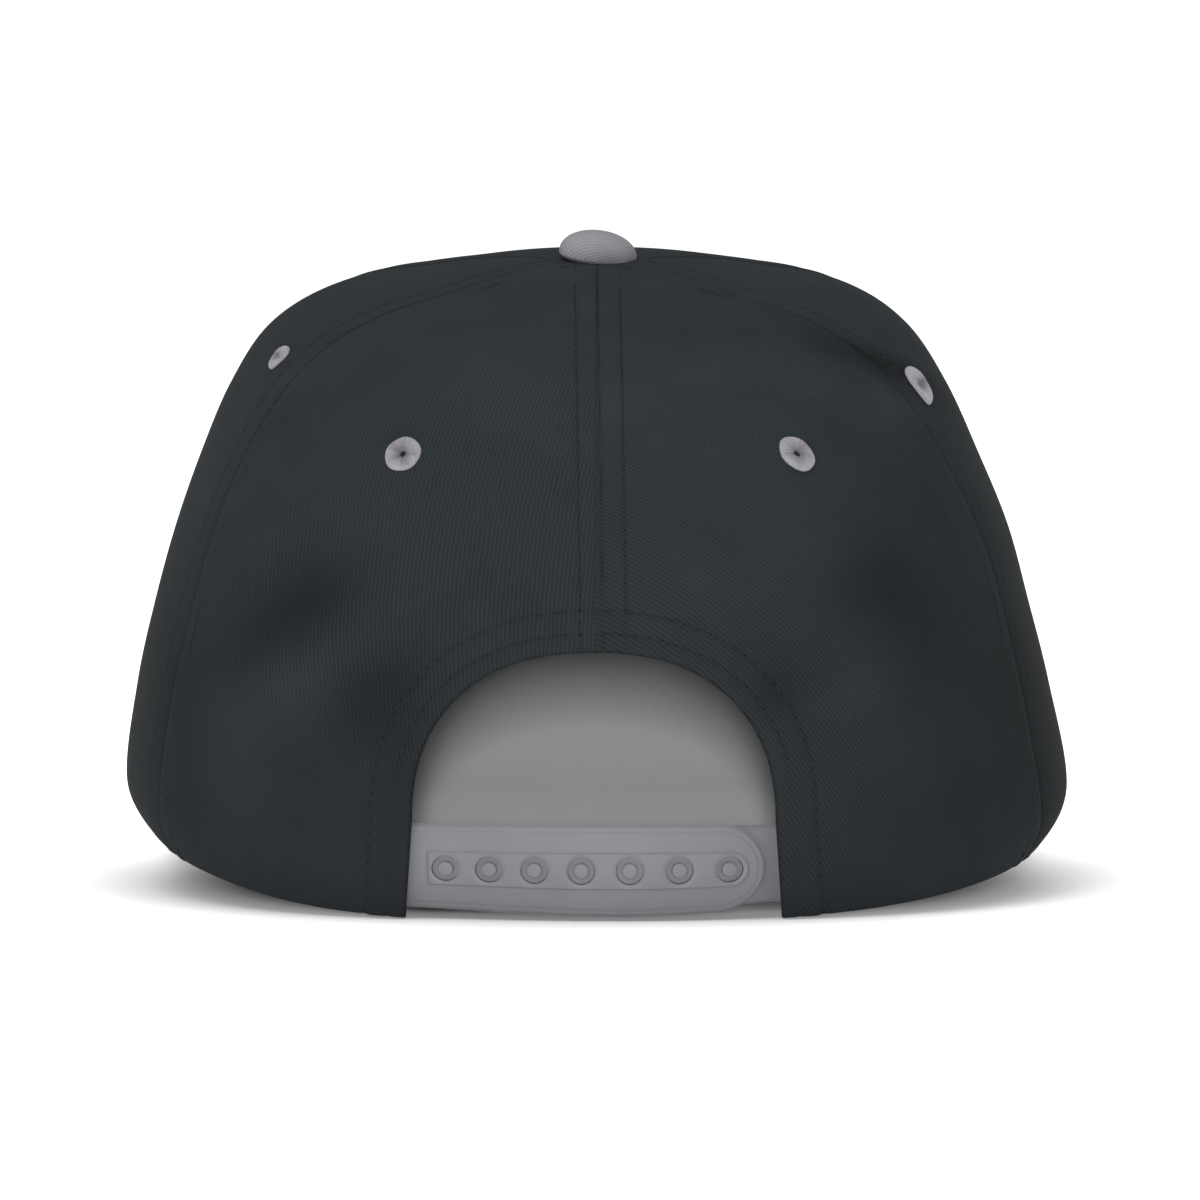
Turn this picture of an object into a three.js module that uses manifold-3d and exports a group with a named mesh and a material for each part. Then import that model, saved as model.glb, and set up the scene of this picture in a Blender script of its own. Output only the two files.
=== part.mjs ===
// Snapback cap, resting on its back hem and on the front edge of its brim.
// Millimetres, +Z up. The back of the cap faces -Y and the brim points to +Y.
// A turn is an angle in degrees seen from above: 0 at the back, 90 at the right, 180 at the front.
// A climb runs from 0 at the hem to 1 at the top of the crown.
import * as THREE from "three";
import { mergeVertices } from "three/addons/utils/BufferGeometryUtils.js";
import Module from "manifold-3d";

// Crown
const crownHalfWidth = 93.6;
const crownBackDepth = 86;
const crownFrontDepth = 86;
const crownHeight = 124.7;
const hemSideRise = 12.6;
const panelWall = 1.6;
const panelBulge = 1.2;
const foldDepth = 3;
const seamGap = 0.3;
const seamGroove = 0.6;
const seamGrooveWidth = 3;
const fitGap = 0.3;
const rearSeamTurn = 1.3;
const sideSeamTurn = 64;
const frontSeamTurn = 122;

// Arched opening at the back
const openingHalfWidth = 35.3;
const openingHemHalfWidth = 36.6;
const openingCentreX = -0.6;
const openingTop = 51.8;
const openingSpring = 19.5;
const openingRoundness = 2.3;
const openingCutBelow = 10;

// Button and eyelets
const buttonRadius = 7.8;
const buttonHeight = 5.2;
const buttonStemRadius = 2.6;
const eyeletRadius = 3.6;
const eyeletNeckRadius = 2.2;
const eyeletHoleRadius = 0.8;
const eyeletProud = 0.9;
const eyeletCutLength = 10;

// Brim
const brimLength = 72;
const brimWall = 3.2;
const brimCornerTurn = 108;
const brimShoulder = 2;
const brimSquareness = 3.1;
const brimNoseFlat = 0.3;
const brimShares = [0, 0.2, 0.5, 0.8];

// Sweatband
const bandHeight = 36;
const bandWall = 1.2;
const bandGap = 0.5;
const bandDrop = 6.2;

// Strap
const strapHeight = 17.8;
const strapWall = 1.3;
const strapFloorGap = 1;
const strapHemGap = 0.7;
const strapLayerGap = 0.5;
const strapTuck = 10;
const strapBow = 3.2;
const strapEndX = 33;
const innerStrapEndX = -35.5;
const strapEndRadius = 8.6;
const raisedBandHeight = 7;
const raisedBandProud = 0.45;
const raisedBandStartX = -33;
const raisedBandEndX = 29.5;
const pegCount = 7;
const pegPitch = 8.6;
const pegPitchGrowth = 0.26;
const pegRadius = 1.5;
const pegHoleRadius = 2.6;
const firstPegX = -29.5;
const strapBowSkew = 1.2;
const strapBowFlare = 1.5;
const strapRampMargin = 2;
const strapTipHalfHeight = 0.1;

// Rows of a table as objects with the table's column names
function namedRows(names, rows) {
  return rows.map((row) => Object.fromEntries(names.map((name, i) => [name, row[i]])));
}

// Crown sections from the hem to the top. up is a share of the height above the hem,
// back, left, right and front are shares of the half sizes, square is the exponent of the
// section's outline, lean is how steeply the section rises towards the front, and seamLeft
// and seamRight are the side seams' turns as shares of sideSeamTurn.
const sections = namedRows(
  ["up", "back", "left", "right", "front", "square", "lean", "seamLeft", "seamRight"], [
    [0, 0.975, 0.952, 0.952, 0.965, 2.5, 0, 0.985, 1.01],
    [0.08, 1, 1, 1, 1, 2.5, 0.004, 0.985, 1.02],
    [0.25, 0.985, 0.974, 0.96, 0.995, 2.5, 0.012, 0.99, 1.03],
    [0.392, 0.955, 0.934, 0.914, 0.98, 2.45, 0.025, 1, 1.05],
    [0.525, 0.91, 0.888, 0.868, 0.95, 2.4, 0.04, 1.01, 1.06],
    [0.655, 0.85, 0.832, 0.802, 0.9, 2.35, 0.06, 1.01, 1.05],
    [0.775, 0.77, 0.77, 0.735, 0.83, 2.3, 0.082, 0.98, 1],
    [0.875, 0.67, 0.69, 0.655, 0.735, 2.25, 0.098, 0.93, 0.92],
    [0.937, 0.55, 0.565, 0.545, 0.6, 2.2, 0.105, 0.88, 0.84],
    [0.969, 0.4, 0.385, 0.385, 0.43, 2.1, 0.106, 0.84, 0.78],
    [0.993, 0.22, 0.215, 0.215, 0.235, 2, 0.106, 0.81, 0.75],
    [1, 0, 0, 0, 0, 2, 0.106, 0.8, 0.74],
  ]);

// How far the hem rises off the floor, as a share of the rise at the sides
const hemRows = [
  { turn: 0, left: 0, right: 0 },
  { turn: 24, left: 0, right: 0 },
  { turn: 39, left: 0.14, right: 0.12 },
  { turn: 56, left: 0.5, right: 0.38 },
  { turn: 74, left: 0.87, right: 0.7 },
  { turn: 90, left: 1, right: 0.9 },
  { turn: brimCornerTurn, left: 1, right: 1 },
];

// Soft dents (positive) and ridges (negative) of the cloth: place, reach in degrees
// and in climb, slant in climb for each degree, and depth as a share of foldDepth.
const folds = [
  { turn: -43, climb: 0.37, reach: 10, spread: 0.07, slant: 0.004, depth: 0.5 },
  { turn: -32, climb: 0.245, reach: 8, spread: 0.05, slant: 0.004, depth: 0.4 },
  { turn: 42, climb: 0.37, reach: 8, spread: 0.1, slant: 0.004, depth: 0.5 },
  { turn: 24, climb: 0.24, reach: 5, spread: 0.06, slant: -0.004, depth: 0.3 },
  { turn: 70, climb: 0.76, reach: 12, spread: 0.03, slant: -0.003, depth: 0.7 },
  { turn: 72, climb: 0.65, reach: 8, spread: 0.025, slant: -0.003, depth: 0.5 },
];

const eyelets = [
  { name: "rear_left_eyelet", panel: "rear_left_panel", turn: -31.1, climb: 0.526 },
  { name: "rear_right_eyelet", panel: "rear_right_panel", turn: 32.4, climb: 0.525 },
  { name: "side_left_eyelet", panel: "side_left_panel", turn: -69.9, climb: 0.62 },
  { name: "side_right_eyelet", panel: "side_right_panel", turn: 69.1, climb: 0.576 },
  { name: "front_left_eyelet", panel: "front_left_panel", turn: -150, climb: 0.6 },
  { name: "front_right_eyelet", panel: "front_right_panel", turn: 150, climb: 0.6 },
];

const crownCloth = { color: 0x2e3437, roughness: 0.9, metalness: 0 };
const greyThread = { color: 0x98969c, roughness: 0.75, metalness: 0 };
const greyCloth = { color: 0x868686, roughness: 0.9, metalness: 0 };
const greyPlastic = { color: 0x7e7d82, roughness: 0.5, metalness: 0 };

// Faces along and across the pieces
const panelRows = 17;
const bandRows = 4;
const bandColumns = 48;
const brimColumns = 30;
const outerStrapColumns = 30;
const raisedBandColumns = 22;
const innerStrapColumns = 28;
const stripRows = 3;
const archSides = 24;
const eyeletSides = 12;
const postSides = 12;
const buttonSides = 20;
const domeSteps = 5;

// Steps of the searches for a place on the crown
const searchSteps = 30;
const normalStep = 0.004;
const pegSearchStep = 0.02;
const highestSearch = 0.9;

const wasm = await Module();
wasm.setup();

const radians = THREE.MathUtils.degToRad;
const { lerp, smoothstep } = THREE.MathUtils;

// Smooth value of one column at an index between the rows of a table
function column(rows, name, index) {
  const k = Math.min(Math.floor(index), rows.length - 2);
  const f = index - k;
  const [a, b, c, d] = [k - 1, k, k + 1, k + 2].map(
    (i) => rows[THREE.MathUtils.clamp(i, 0, rows.length - 1)][name]);
  return b + 0.5 * f * (c - a + f * (2 * a - 5 * b + 4 * c - d + f * (3 * (b - c) + d - a)));
}

// Index between the rows of a table at which its key column has a value
function rowIndex(rows, key, value) {
  let k = 0;
  while (k < rows.length - 2 && rows[k + 1][key] < value) k += 1;
  return k + (value - rows[k][key]) / (rows[k + 1][key] - rows[k][key]);
}

function wrapTurn(turn) {
  return turn - 360 * Math.round(turn / 360);
}

// Distance from the crown's axis to one section's outline
function sectionRadius(turn, climb) {
  const index = climb * (sections.length - 1);
  const [s, c] = [Math.sin(radians(turn)), Math.cos(radians(turn))];
  const halfX = crownHalfWidth * column(sections, s > 0 ? "right" : "left", index);
  const halfY = c > 0
    ? crownBackDepth * column(sections, "back", index)
    : crownFrontDepth * column(sections, "front", index);
  const square = column(sections, "square", index);
  return (Math.abs(s / halfX) ** square + Math.abs(c / halfY) ** square) ** (-1 / square);
}

// Brim: its top is a plane that falls from its rear corners to its front edge
const brimCornerY = -sectionRadius(brimCornerTurn, 0) * Math.cos(radians(brimCornerTurn));
const brimTipY = sectionRadius(180, 0) + brimLength;
const brimSlope = (hemSideRise - fitGap - brimWall) / (brimTipY - brimCornerY);

function brimTopAt(y) {
  return brimWall + (brimTipY - y) * brimSlope;
}

function hemHeight(turn) {
  const away = Math.abs(wrapTurn(turn));
  if (away > brimCornerTurn) {
    return brimTopAt(-sectionRadius(turn, 0) * Math.cos(radians(turn))) + fitGap;
  }
  const side = wrapTurn(turn) > 0 ? "right" : "left";
  return hemSideRise * column(hemRows, side, rowIndex(hemRows, "turn", away));
}

// Turns of the seams at one climb, from the centre front round the left to the centre front
function seamTurnsAt(climb) {
  const index = climb * (sections.length - 1);
  const left = sideSeamTurn * column(sections, "seamLeft", index);
  const right = sideSeamTurn * column(sections, "seamRight", index);
  return [-180, -frontSeamTurn, -left, rearSeamTurn * (1 - climb), right, frontSeamTurn, 180];
}

// Shallow groove that each seam pulls into the cloth
function seamPull(turn, climb, radius) {
  const away = Math.min(...seamTurnsAt(climb).map((seam) => Math.abs(wrapTurn(turn - seam))));
  return seamGroove * Math.exp(-((radians(away) * radius / seamGrooveWidth) ** 2));
}

// Soft outward swell of each panel between its seams
function panelSwell(turn, climb) {
  const stops = seamTurnsAt(climb);
  const place = wrapTurn(turn);
  const k = Math.max(stops.findLastIndex((stop, i) => i + 1 < stops.length && stop <= place), 0);
  const across = (place - stops[k]) / (stops[k + 1] - stops[k]);
  return panelBulge * Math.sin(Math.PI * across) ** 2 * Math.sin(Math.PI * climb);
}

function foldPull(turn, climb) {
  return folds.reduce((sum, fold) => {
    const along = wrapTurn(turn - fold.turn);
    const u = along / fold.reach;
    const v = (climb - fold.climb - fold.slant * along) / fold.spread;
    return sum + foldDepth * fold.depth * Math.exp(-u * u - v * v);
  }, 0);
}

// Point on the crown's outer face. Seams and folds fade out towards the top.
function crownPoint(turn, climb) {
  const plain = sectionRadius(turn, climb);
  const relief = panelSwell(turn, climb) - seamPull(turn, climb, plain) - foldPull(turn, climb);
  const radius = plain + smoothstep(plain, 0, crownHalfWidth / 4) * relief;
  const y = -radius * Math.cos(radians(turn));
  const index = climb * (sections.length - 1);
  const level = lerp(hemHeight(turn), crownHeight, column(sections, "up", index));
  const z = level + column(sections, "lean", index) * y;
  return new THREE.Vector3(radius * Math.sin(radians(turn)), y, z);
}

// Outward normal of the crown, from two short steps over its surface
function crownNormal(turn, climb) {
  const low = Math.max(climb - normalStep, 0);
  const high = Math.min(climb + normalStep, 1 - normalStep);
  const around = crownPoint(turn + 1, climb).sub(crownPoint(turn - 1, climb));
  const upward = crownPoint(turn, high).sub(crownPoint(turn, low));
  return around.cross(upward).normalize();
}

// Point at a depth under the crown's outer face
function underCrown(turn, climb, depth) {
  return crownPoint(turn, climb).addScaledVector(crownNormal(turn, climb), -depth);
}

// Climb at which the crown reaches a height above the floor
function climbAtHeight(turn, height) {
  let [low, high] = [0, highestSearch];
  for (let i = 0; i < searchSteps; i += 1) {
    const middle = (low + high) / 2;
    if (crownPoint(turn, middle).z < height) low = middle;
    else high = middle;
  }
  return low;
}

// Turn at which the crown's hem reaches a sideways place near the back
function turnAtX(x) {
  const climb = climbAtHeight(0, strapFloorGap + strapHeight / 2);
  let turn = 0;
  for (let i = 0; i < searchSteps; i += 1) {
    turn = THREE.MathUtils.radToDeg(Math.asin(x / sectionRadius(turn, climb)));
  }
  return turn;
}

function geometryFrom(points, triangles) {
  const geometry = new THREE.BufferGeometry();
  const places = points.flatMap((p) => [p.x, p.y, p.z]);
  geometry.setAttribute("position", new THREE.Float32BufferAttribute(places, 3));
  geometry.setIndex(triangles);
  return geometry;
}

// Closed solid through rings of points that have the same count, with flat ends
function loft(rings) {
  const count = rings[0].length;
  const triangles = [];
  const quad = (a, b, c, d) => triangles.push(a, b, c, a, c, d);
  for (let i = 0; i + 1 < rings.length; i += 1) {
    for (let j = 0; j < count; j += 1) {
      const next = (j + 1) % count;
      quad(i * count + j, i * count + next, (i + 1) * count + next, (i + 1) * count + j);
    }
  }
  const last = (rings.length - 1) * count;
  const half = count / 2;
  for (let j = 0; j + 1 < half; j += 1) {
    const [a, b, c, d] = [j, count - 1 - j, count - 2 - j, j + 1];
    quad(a, b, c, d);
    quad(last + d, last + c, last + b, last + a);
  }
  return outward(geometryFrom(rings.flat(), triangles));
}

// The same solid with its faces pointing out
function outward(geometry) {
  const p = geometry.getAttribute("position");
  const index = geometry.getIndex();
  const corner = (i) => new THREE.Vector3().fromBufferAttribute(p, index.getX(i));
  let volume = 0;
  for (let i = 0; i < index.count; i += 3) {
    volume += corner(i).dot(corner(i + 1).cross(corner(i + 2)));
  }
  if (volume < 0) {
    for (let i = 0; i < index.count; i += 3) {
      const first = index.getX(i);
      index.setX(i, index.getX(i + 2));
      index.setX(i + 2, first);
    }
  }
  return geometry;
}

function solidOf(geometry) {
  const bare = geometry.clone();
  bare.deleteAttribute("normal");
  bare.deleteAttribute("uv");
  const merged = mergeVertices(bare, 0.001);
  return new wasm.Manifold(new wasm.Mesh({
    numProp: 3,
    vertProperties: new Float32Array(merged.getAttribute("position").array),
    triVerts: new Uint32Array(merged.getIndex().array),
  }));
}

function geometryOf(solid) {
  const mesh = solid.getMesh();
  const geometry = new THREE.BufferGeometry();
  const places = new Float32Array(mesh.vertProperties);
  geometry.setAttribute("position", new THREE.BufferAttribute(places, 3));
  geometry.setIndex(new THREE.BufferAttribute(new Uint32Array(mesh.triVerts), 1));
  return geometry;
}

// Thin curved sheet between two turns and two climbs, as one closed solid
function sheetSolid(turns, climbs, outer, inner) {
  const rings = turns.map((turn) => {
    const rows = climbs(turn);
    const front = rows.map((climb) => outer(turn, climb));
    const back = rows.map((climb) => inner(turn, climb)).reverse();
    return [...front, ...back];
  });
  return loft(rings);
}

function steps(from, to, count) {
  return Array.from({ length: count + 1 }, (_, i) => lerp(from, to, i / count));
}

// Opening cutter: an arch seen from the back, pushed through the back wall
function openingCutter() {
  const arch = new THREE.Shape();
  arch.moveTo(openingHemHalfWidth, -openingCutBelow);
  for (let i = 0; i <= archSides; i += 1) {
    const angle = Math.PI * (i / archSides);
    const c = Math.cos(angle);
    const across = Math.sign(c) * Math.abs(c) ** (2 / openingRoundness);
    const above = Math.abs(Math.sin(angle)) ** (2 / openingRoundness);
    arch.lineTo(openingHalfWidth * across, lerp(openingSpring, openingTop, above));
  }
  arch.lineTo(-openingHemHalfWidth, -openingCutBelow);
  const cutter = new THREE.ExtrudeGeometry(arch, { depth: crownBackDepth, bevelEnabled: false });
  cutter.rotateX(Math.PI / 2);
  cutter.translate(openingCentreX, -crownBackDepth / 4, 0);
  return solidOf(cutter);
}

// Frame of an eyelet: its Y axis points out of the crown
function eyeletFrame({ turn, climb }) {
  const up = new THREE.Vector3(0, 1, 0);
  const rotation = new THREE.Quaternion().setFromUnitVectors(up, crownNormal(turn, climb));
  return new THREE.Matrix4().compose(crownPoint(turn, climb), rotation, new THREE.Vector3(1, 1, 1));
}

// Hole in a panel that an eyelet passes through
function eyeletHole(eyelet) {
  const radius = eyeletNeckRadius + fitGap;
  const cutter = new THREE.CylinderGeometry(radius, radius, eyeletCutLength, eyeletSides);
  return solidOf(cutter.applyMatrix4(eyeletFrame(eyelet)));
}

// Flanged ring that lies on the cloth and passes through it
function eyeletGeometry() {
  const half = (eyeletNeckRadius + eyeletRadius) / 2;
  const profile = [
    [eyeletHoleRadius, -panelWall],
    [eyeletNeckRadius, -panelWall],
    [eyeletNeckRadius, fitGap],
    [eyeletRadius, fitGap],
    [eyeletRadius, fitGap + eyeletProud / 3],
    [half, eyeletProud],
    [eyeletHoleRadius, fitGap],
    [eyeletHoleRadius, -panelWall],
  ];
  return new THREE.LatheGeometry(profile.map(([r, y]) => new THREE.Vector2(r, y)), eyeletSides);
}

// Climb at which the panels end round the button's stem
const panelTopRadius = buttonStemRadius + fitGap;

function topClimb() {
  let [low, high] = [highestSearch, 1];
  for (let i = 0; i < searchSteps; i += 1) {
    const middle = (low + high) / 2;
    if (sectionRadius(0, middle) > panelTopRadius) low = middle;
    else high = middle;
  }
  return low;
}

const panelClimbs = steps(0, topClimb(), panelRows);

// Panels in the order of the seams, each with its count of faces across
const panels = [
  { name: "front_left_panel", columns: 10, opened: false },
  { name: "side_left_panel", columns: 10, opened: false },
  { name: "rear_left_panel", columns: 12, opened: true },
  { name: "rear_right_panel", columns: 12, opened: true },
  { name: "side_right_panel", columns: 10, opened: false },
  { name: "front_right_panel", columns: 10, opened: false },
];

// One crown panel between two seams, with half of the seam's gap taken off each side
function panelSolid(k, columns) {
  const turnAt = (share, climb) => {
    const slack = THREE.MathUtils.radToDeg(seamGap / 2 / sectionRadius(0, climb));
    const stops = seamTurnsAt(climb);
    return lerp(stops[k] + slack, stops[k + 1] - slack, share);
  };
  return sheetSolid(
    steps(0, 1, columns),
    () => panelClimbs,
    (share, climb) => crownPoint(turnAt(share, climb), climb),
    (share, climb) => underCrown(turnAt(share, climb), climb, panelWall));
}

function panelGeometry({ name, columns, opened }, k) {
  let solid = solidOf(panelSolid(k, columns));
  if (opened) solid = solid.subtract(openingCutter());
  for (const eyelet of eyelets.filter((item) => item.panel === name)) {
    solid = solid.subtract(eyeletHole(eyelet));
  }
  return geometryOf(solid);
}

// Domed button with a stem through the top of the crown
function buttonGeometry() {
  const rim = buttonHeight / 3;
  const dome = steps(0, 90, domeSteps).map((angle) => [
    buttonRadius * Math.cos(radians(angle)),
    fitGap + rim + (buttonHeight - rim) * Math.sin(radians(angle))]);
  const profile = [
    [0, -panelWall],
    [buttonStemRadius, -panelWall],
    [buttonStemRadius, fitGap],
    [buttonRadius - rim, fitGap],
    ...dome.slice(0, -1),
    [0, fitGap + buttonHeight],
  ];
  return new THREE.LatheGeometry(profile.map(([r, y]) => new THREE.Vector2(r, y)), buttonSides);
}

// Flat brim: each cross section runs from under the crown's hem to the outer edge
function brimGeometry() {
  const reach = 180 - brimCornerTurn;
  const cornerX = sectionRadius(brimCornerTurn, 0) * Math.sin(radians(brimCornerTurn)) + brimShoulder;
  const cornerY = brimCornerY - brimShoulder;
  const rings = steps(-reach, reach, brimColumns).map((away) => {
    const inner = underCrown(180 - away, 0, panelWall);
    const theta = radians(away * 90 / reach);
    const outer = new THREE.Vector2(
      cornerX * Math.sign(theta) * Math.abs(Math.sin(theta)) ** (2 / brimSquareness),
      lerp(cornerY, brimTipY, Math.cos(theta) ** (2 / brimSquareness)));
    const spot = (share, drop) => {
      const x = lerp(inner.x, outer.x, share);
      const y = lerp(inner.y, outer.y, share);
      return new THREE.Vector3(x, y, brimTopAt(y) - brimWall * drop);
    };
    const nose = brimWall / 2 / brimLength;
    const across = [...brimShares, 1 - nose];
    const top = across.map((share) => spot(share, 0));
    const bottom = across.map((share) => spot(share, 1)).reverse();
    return [...top, spot(1, brimNoseFlat), spot(1, 1 - brimNoseFlat), ...bottom];
  });
  return loft(rings);
}

// Climb of the band's lower edge, which hangs below the hem
const belowHem = -1;

// Band inside the hem, open at the back where the straps are sewn in
function sweatbandGeometry() {
  const start = turnAtX(openingHemHalfWidth + strapTuck + 2 * fitGap);
  const depth = panelWall + bandGap;
  const rows = (turn) => {
    const top = climbAtHeight(turn, hemHeight(turn) + bandHeight);
    return [belowHem, ...panelClimbs.filter((climb) => climb < panelClimbs[bandRows]), top];
  };
  // Its lower edge hangs past the rear edge of the brim
  const face = (inset) => (turn, climb) => {
    const point = underCrown(turn, Math.max(climb, 0), inset);
    const beside = smoothstep(Math.abs(wrapTurn(turn)), sideSeamTurn, brimCornerTurn);
    if (climb === belowHem) point.z -= lerp(fitGap, bandDrop, beside);
    return point;
  };
  return sheetSolid(
    steps(start, 360 - start, bandColumns),
    rows,
    face(depth),
    face(depth + bandWall));
}

// Strap path: it carries on the curve of the crown and bows out between the hem edges
function strapPoint(turn, height, depth) {
  const edge = turnAtX(openingHemHalfWidth);
  const across = THREE.MathUtils.clamp((turn + edge) / (2 * edge), 0, 1);
  const bow = strapBow * Math.sin(Math.PI * across ** strapBowSkew) ** strapBowFlare;
  return underCrown(turn, climbAtHeight(turn, height), depth - bow);
}

// Flat strip along the strap path. ends gives its half height at each sideways place.
function stripSolid(fromX, toX, count, halfHeightAt, depthAt, wall) {
  const middle = strapFloorGap + strapHeight / 2;
  const rings = steps(turnAtX(fromX), turnAtX(toX), count).map((turn, i) => {
    const x = lerp(fromX, toX, i / count);
    const half = halfHeightAt(x);
    const heights = steps(middle - half, middle + half, stripRows);
    const front = heights.map((height) => strapPoint(turn, height, depthAt(x)));
    const back = heights.map((height) => strapPoint(turn, height, depthAt(x) + wall)).reverse();
    return [...front, ...back];
  });
  return solidOf(loft(rings));
}

// Half height of a strip whose ends are rounded with a radius
function roundedEnd(half, endX, radius) {
  return (x) => {
    const left = Math.abs(endX - x);
    if (left >= radius) return half;
    const rise = Math.sqrt(Math.max(radius ** 2 - (radius - left) ** 2, 0));
    return Math.max(half - radius + rise, strapTipHalfHeight);
  };
}

const outerStrapDepth = panelWall + strapHemGap;
const innerStrapDepth = outerStrapDepth + strapWall + strapLayerGap;

// Turns of the pegs along the bowed strap, each a little further apart than the one before
function pegTurns() {
  const middle = strapFloorGap + strapHeight / 2;
  const turns = [turnAtX(firstPegX)];
  while (turns.length < pegCount) {
    const last = strapPoint(turns.at(-1), middle, outerStrapDepth);
    const pitch = pegPitch + pegPitchGrowth * (turns.length - 1);
    let turn = turns.at(-1);
    while (strapPoint(turn, middle, outerStrapDepth).distanceTo(last) < pitch) turn += pegSearchStep;
    turns.push(turn);
  }
  return turns;
}

// Round post across the strap at one turn, between two depths
function postSolid(turn, radius, fromDepth, toDepth) {
  const middle = strapFloorGap + strapHeight / 2;
  const start = strapPoint(turn, middle, fromDepth);
  const end = strapPoint(turn, middle, toDepth);
  const post = new THREE.CylinderGeometry(radius, radius, start.distanceTo(end), postSides);
  const [up, direction] = [new THREE.Vector3(0, 1, 0), end.clone().sub(start).normalize()];
  post.applyQuaternion(new THREE.Quaternion().setFromUnitVectors(up, direction));
  post.translate(...start.lerp(end, 0.5).toArray());
  return solidOf(post);
}

function outerStrapGeometry() {
  const half = strapHeight / 2;
  const bandHalf = raisedBandHeight / 2;
  const startX = -openingHemHalfWidth - strapTuck;
  const body = stripSolid(
    startX, strapEndX, outerStrapColumns,
    roundedEnd(half, strapEndX, strapEndRadius), () => outerStrapDepth, strapWall);
  const band = stripSolid(
    raisedBandStartX, raisedBandEndX, raisedBandColumns,
    roundedEnd(bandHalf, raisedBandEndX, bandHalf),
    () => outerStrapDepth - raisedBandProud, strapWall / 2);
  return geometryOf(pegTurns().reduce(
    (solid, turn) => solid.subtract(postSolid(turn, pegHoleRadius, -strapWall, innerStrapDepth)),
    body.add(band)));
}

function innerStrapGeometry() {
  const half = strapHeight / 2 - fitGap;
  const endX = openingHemHalfWidth + strapTuck;
  const rampShare = (x) => smoothstep(x, strapEndX + strapRampMargin, endX - strapRampMargin);
  const depthAt = (x) => lerp(innerStrapDepth, outerStrapDepth, rampShare(x));
  const body = stripSolid(
    innerStrapEndX, endX, innerStrapColumns,
    roundedEnd(half, innerStrapEndX, strapEndRadius), depthAt, strapWall);
  const peg = (turn) => postSolid(
    turn, pegRadius, outerStrapDepth + fitGap, innerStrapDepth + strapWall / 2);
  return geometryOf(pegTurns().reduce((solid, turn) => solid.add(peg(turn)), body));
}

const cap = new THREE.Group();

function addPiece(name, geometry, finish) {
  const mesh = new THREE.Mesh(geometry, new THREE.MeshStandardMaterial(finish));
  mesh.name = name;
  cap.add(mesh);
  return mesh;
}

panels.forEach((panel, k) => addPiece(panel.name, panelGeometry(panel, k), crownCloth));
eyelets.forEach((eyelet) => {
  addPiece(eyelet.name, eyeletGeometry(), greyThread).applyMatrix4(eyeletFrame(eyelet));
});
addPiece("brim", brimGeometry(), greyCloth);
addPiece("sweatband", sweatbandGeometry(), greyCloth);
addPiece("outer_strap", outerStrapGeometry(), greyPlastic);
addPiece("inner_strap", innerStrapGeometry(), greyPlastic);

const button = addPiece("button", buttonGeometry(), greyThread);
const topLean = sections.at(-1).lean;
button.position.set(0, 0, crownHeight);
button.rotation.x = Math.PI / 2 + Math.atan(topLean);

// The origin is the centre of the cap's footprint, on the floor
cap.position.y = (crownBackDepth - brimTipY) / 2;

export default cap;
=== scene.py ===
import math

import bpy
import numpy as np
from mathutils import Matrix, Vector


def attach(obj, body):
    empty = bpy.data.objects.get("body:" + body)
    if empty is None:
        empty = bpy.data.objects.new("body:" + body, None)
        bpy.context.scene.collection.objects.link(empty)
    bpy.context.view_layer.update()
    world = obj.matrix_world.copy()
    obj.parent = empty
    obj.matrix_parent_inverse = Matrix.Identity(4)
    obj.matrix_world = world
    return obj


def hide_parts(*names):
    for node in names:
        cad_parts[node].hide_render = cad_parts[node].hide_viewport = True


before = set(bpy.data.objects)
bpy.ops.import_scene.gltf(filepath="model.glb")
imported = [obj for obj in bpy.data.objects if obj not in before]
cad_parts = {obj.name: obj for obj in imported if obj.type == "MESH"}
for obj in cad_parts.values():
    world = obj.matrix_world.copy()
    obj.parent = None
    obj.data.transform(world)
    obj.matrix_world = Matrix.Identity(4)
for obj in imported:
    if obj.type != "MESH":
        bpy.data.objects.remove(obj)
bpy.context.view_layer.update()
print("frame loaded:", len(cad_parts), "nodes")

# Lengths below are millimetres. The crown's own axis is x 0, y 0, and its back faces -Y.
# A turn is an angle in degrees seen from above: 0 at the back, 90 at the right, 180 in front.
# A climb runs from 0 at the hem to 1 at the top.
mm = 0.001
tiny = 1e-6
crown = {
    "halfWidth": 93.6,
    "backDepth": 86,
    "frontDepth": 86,
    "height": 124.7,
    "hemRise": 12.6,
    "wall": 1.6,
    "bulge": 1.2,
    "foldDepth": 3,
    "seamSag": 0.3,      # broad dip of the cloth along a seam
    "seamSagWidth": 3,
    "rearSeamTurn": 1.3,
    "sideSeamTurn": 64,
    "frontSeamTurn": 122,
    "brimCornerTurn": 108,
    "fitGap": 0.3,
    "centreY": -34.495,  # where the crown's axis stands in the frame
    "lowest": 0.1,       # of a panel's points
    "shadeFade": 30,     # the shades are full this far behind the axis
}

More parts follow.
